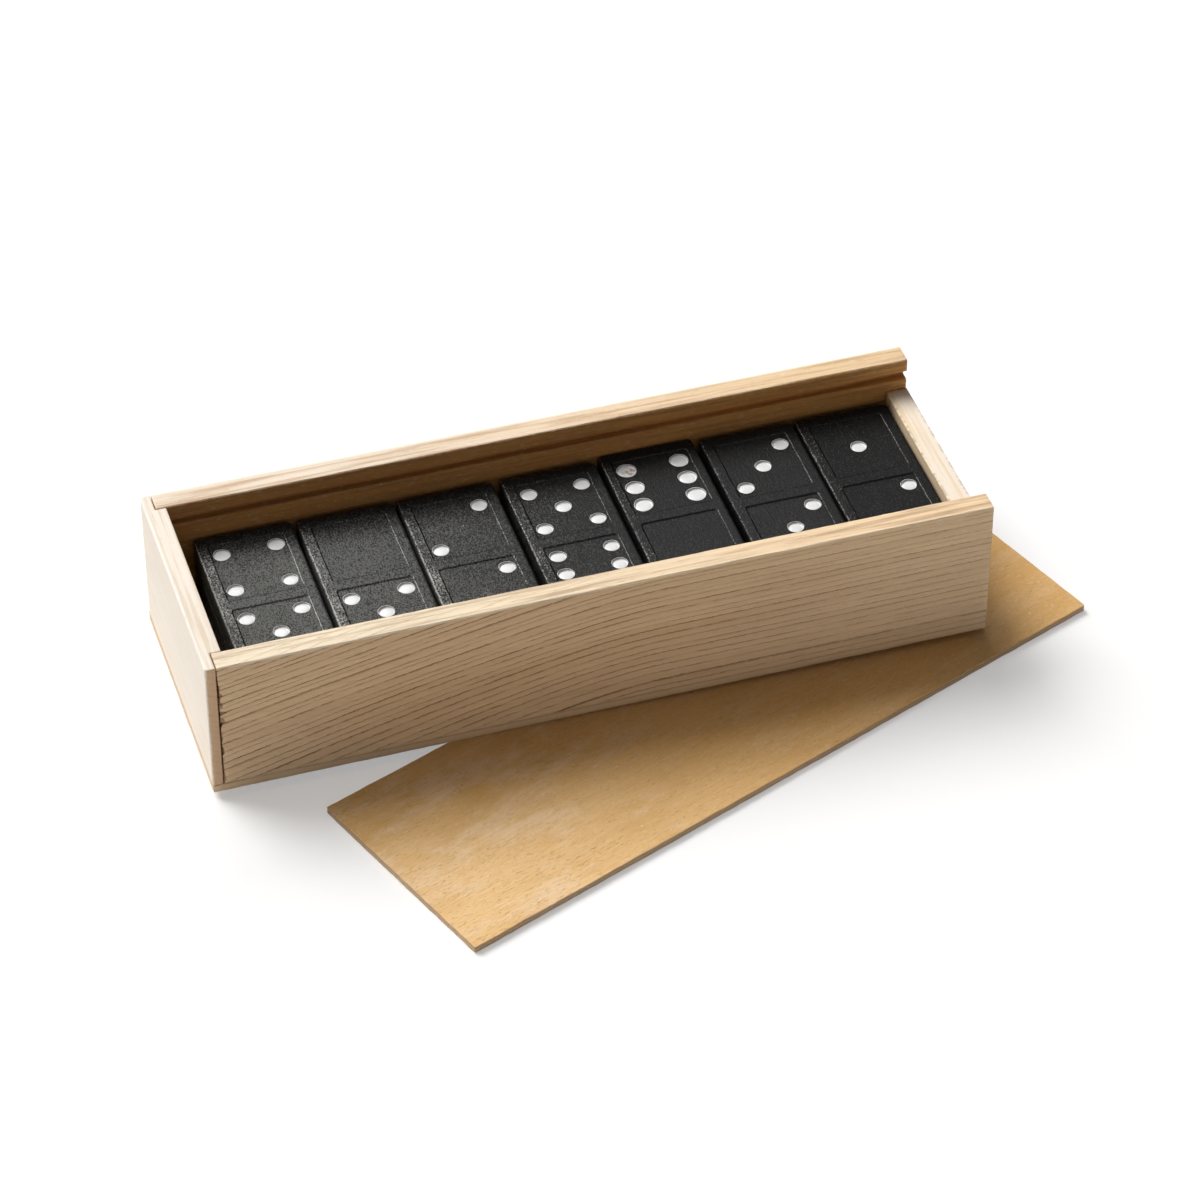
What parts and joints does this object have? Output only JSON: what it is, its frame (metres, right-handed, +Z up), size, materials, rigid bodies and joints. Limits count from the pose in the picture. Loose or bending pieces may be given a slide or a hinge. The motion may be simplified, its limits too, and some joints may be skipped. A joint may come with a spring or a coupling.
{
  "type": "domino storage box",
  "caption": "Open wooden domino box with grooved sides and a low end for its sliding lid, full of black dominoes; the thin lid lies on the table, partly under the box.",
  "frame": {"origin": "middle of the footprint of the box and its lid, on the table", "axes": "+X along the length of the box, from the high end to the low end that the lid passes; +Y from the front side board to the back one; +Z up"},
  "size_m": [0.171, 0.102, 0.0322],
  "materials": {
    "pine_boards": "bare sanded pine",
    "pine_ends": "bare sanded pine, pale",
    "ply_bottom": "bare thin plywood",
    "ply_lid": "bare thin plywood, golden tan",
    "black_tile": "black paint on wood, half matt, with white painted pips"
  },
  "bodies": {
    "box": {"bottom_panel": "ply_bottom", "front_side": "pine_boards", "back_side": "pine_boards", "high_end": "pine_ends", "low_end": "pine_ends"},
    "lid": {"lid": "ply_lid"},
    "tile_0_0": {"tile_0_0": "black_tile"},
    "tile_4_0": {"tile_4_0": "black_tile"},
    "tile_5_3": {"tile_5_3": "black_tile"},
    "tile_4_5": {"tile_4_5": "black_tile"},
    "tile_1_0": {"tile_1_0": "black_tile"},
    "tile_4_1": {"tile_4_1": "black_tile"},
    "tile_5_5": {"tile_5_5": "black_tile"},
    "tile_0_5": {"tile_0_5": "black_tile"},
    "tile_1_1": {"tile_1_1": "black_tile"},
    "tile_4_2": {"tile_4_2": "black_tile"},
    "tile_6_1": {"tile_6_1": "black_tile"},
    "tile_2_2": {"tile_2_2": "black_tile"},
    "tile_2_0": {"tile_2_0": "black_tile"},
    "tile_4_3": {"tile_4_3": "black_tile"},
    "tile_6_2": {"tile_6_2": "black_tile"},
    "tile_5_6": {"tile_5_6": "black_tile"},
    "tile_3_0": {"tile_3_0": "black_tile"},
    "tile_4_4": {"tile_4_4": "black_tile"},
    "tile_6_3": {"tile_6_3": "black_tile"},
    "tile_6_0": {"tile_6_0": "black_tile"},
    "tile_3_1": {"tile_3_1": "black_tile"},
    "tile_5_1": {"tile_5_1": "black_tile"},
    "tile_6_4": {"tile_6_4": "black_tile"},
    "tile_3_3": {"tile_3_3": "black_tile"},
    "tile_3_2": {"tile_3_2": "black_tile"},
    "tile_5_2": {"tile_5_2": "black_tile"},
    "tile_6_6": {"tile_6_6": "black_tile"},
    "tile_1_2": {"tile_1_2": "black_tile"}
  },
  "joints": [
    {"name": "lid_draw_out", "type": "slide", "parent": "box", "child": "lid", "axis": [0.36, -0.933, 0], "range_m": [0, 0.042]},
    {"name": "lift_tile_0_0", "type": "slide", "parent": "box", "child": "tile_0_0", "axis": [-0.0087, 0.0227, 0.9997], "range_m": [0, 0.03]},
    {"name": "lift_tile_4_0", "type": "slide", "parent": "tile_0_0", "child": "tile_4_0", "axis": [-0.0087, 0.0227, 0.9997], "range_m": [0, 0.025]},
    {"name": "lift_tile_5_3", "type": "slide", "parent": "tile_4_0", "child": "tile_5_3", "axis": [-0.0087, 0.0227, 0.9997], "range_m": [0, 0.02]},
    {"name": "lift_tile_4_5", "type": "slide", "parent": "tile_5_3", "child": "tile_4_5", "axis": [-0.0087, 0.0227, 0.9997], "range_m": [0, 0.015]},
    {"name": "lift_tile_1_0", "type": "slide", "parent": "box", "child": "tile_1_0", "axis": [-0.0087, 0.0227, 0.9997], "range_m": [0, 0.03]},
    {"name": "lift_tile_4_1", "type": "slide", "parent": "tile_1_0", "child": "tile_4_1", "axis": [-0.0087, 0.0227, 0.9997], "range_m": [0, 0.025]},
    {"name": "lift_tile_5_5", "type": "slide", "parent": "tile_4_1", "child": "tile_5_5", "axis": [-0.0087, 0.0227, 0.9997], "range_m": [0, 0.02]},
    {"name": "lift_tile_0_5", "type": "slide", "parent": "tile_5_5", "child": "tile_0_5", "axis": [-0.0087, 0.0227, 0.9997], "range_m": [0, 0.015]},
    {"name": "lift_tile_1_1", "type": "slide", "parent": "box", "child": "tile_1_1", "axis": [-0.0087, 0.0227, 0.9997], "range_m": [0, 0.03]},
    {"name": "lift_tile_4_2", "type": "slide", "parent": "tile_1_1", "child": "tile_4_2", "axis": [-0.0087, 0.0227, 0.9997], "range_m": [0, 0.025]},
    {"name": "lift_tile_6_1", "type": "slide", "parent": "tile_4_2", "child": "tile_6_1", "axis": [-0.0087, 0.0227, 0.9997], "range_m": [0, 0.02]},
    {"name": "lift_tile_2_2", "type": "slide", "parent": "tile_6_1", "child": "tile_2_2", "axis": [-0.0087, 0.0227, 0.9997], "range_m": [0, 0.015]},
    {"name": "lift_tile_2_0", "type": "slide", "parent": "box", "child": "tile_2_0", "axis": [-0.0087, 0.0227, 0.9997], "range_m": [0, 0.03]},
    {"name": "lift_tile_4_3", "type": "slide", "parent": "tile_2_0", "child": "tile_4_3", "axis": [-0.0087, 0.0227, 0.9997], "range_m": [0, 0.025]},
    {"name": "lift_tile_6_2", "type": "slide", "parent": "tile_4_3", "child": "tile_6_2", "axis": [-0.0087, 0.0227, 0.9997], "range_m": [0, 0.02]},
    {"name": "lift_tile_5_6", "type": "slide", "parent": "tile_6_2", "child": "tile_5_6", "axis": [-0.0087, 0.0227, 0.9997], "range_m": [0, 0.015]},
    {"name": "lift_tile_3_0", "type": "slide", "parent": "box", "child": "tile_3_0", "axis": [-0.0087, 0.0227, 0.9997], "range_m": [0, 0.03]},
    {"name": "lift_tile_4_4", "type": "slide", "parent": "tile_3_0", "child": "tile_4_4", "axis": [-0.0087, 0.0227, 0.9997], "range_m": [0, 0.025]},
    {"name": "lift_tile_6_3", "type": "slide", "parent": "tile_4_4", "child": "tile_6_3", "axis": [-0.0087, 0.0227, 0.9997], "range_m": [0, 0.02]},
    {"name": "lift_tile_6_0", "type": "slide", "parent": "tile_6_3", "child": "tile_6_0", "axis": [-0.0087, 0.0227, 0.9997], "range_m": [0, 0.015]},
    {"name": "lift_tile_3_1", "type": "slide", "parent": "box", "child": "tile_3_1", "axis": [-0.0087, 0.0227, 0.9997], "range_m": [0, 0.03]},
    {"name": "lift_tile_5_1", "type": "slide", "parent": "tile_3_1", "child": "tile_5_1", "axis": [-0.0087, 0.0227, 0.9997], "range_m": [0, 0.025]},
    {"name": "lift_tile_6_4", "type": "slide", "parent": "tile_5_1", "child": "tile_6_4", "axis": [-0.0087, 0.0227, 0.9997], "range_m": [0, 0.02]},
    {"name": "lift_tile_3_3", "type": "slide", "parent": "tile_6_4", "child": "tile_3_3", "axis": [-0.0087, 0.0227, 0.9997], "range_m": [0, 0.015]},
    {"name": "lift_tile_3_2", "type": "slide", "parent": "box", "child": "tile_3_2", "axis": [-0.0087, 0.0227, 0.9997], "range_m": [0, 0.03]},
    {"name": "lift_tile_5_2", "type": "slide", "parent": "tile_3_2", "child": "tile_5_2", "axis": [-0.0087, 0.0227, 0.9997], "range_m": [0, 0.025]},
    {"name": "lift_tile_6_6", "type": "slide", "parent": "tile_5_2", "child": "tile_6_6", "axis": [-0.0087, 0.0227, 0.9997], "range_m": [0, 0.02]},
    {"name": "lift_tile_1_2", "type": "slide", "parent": "tile_6_6", "child": "tile_1_2", "axis": [-0.0087, 0.0227, 0.9997], "range_m": [0, 0.015]}
  ]
}
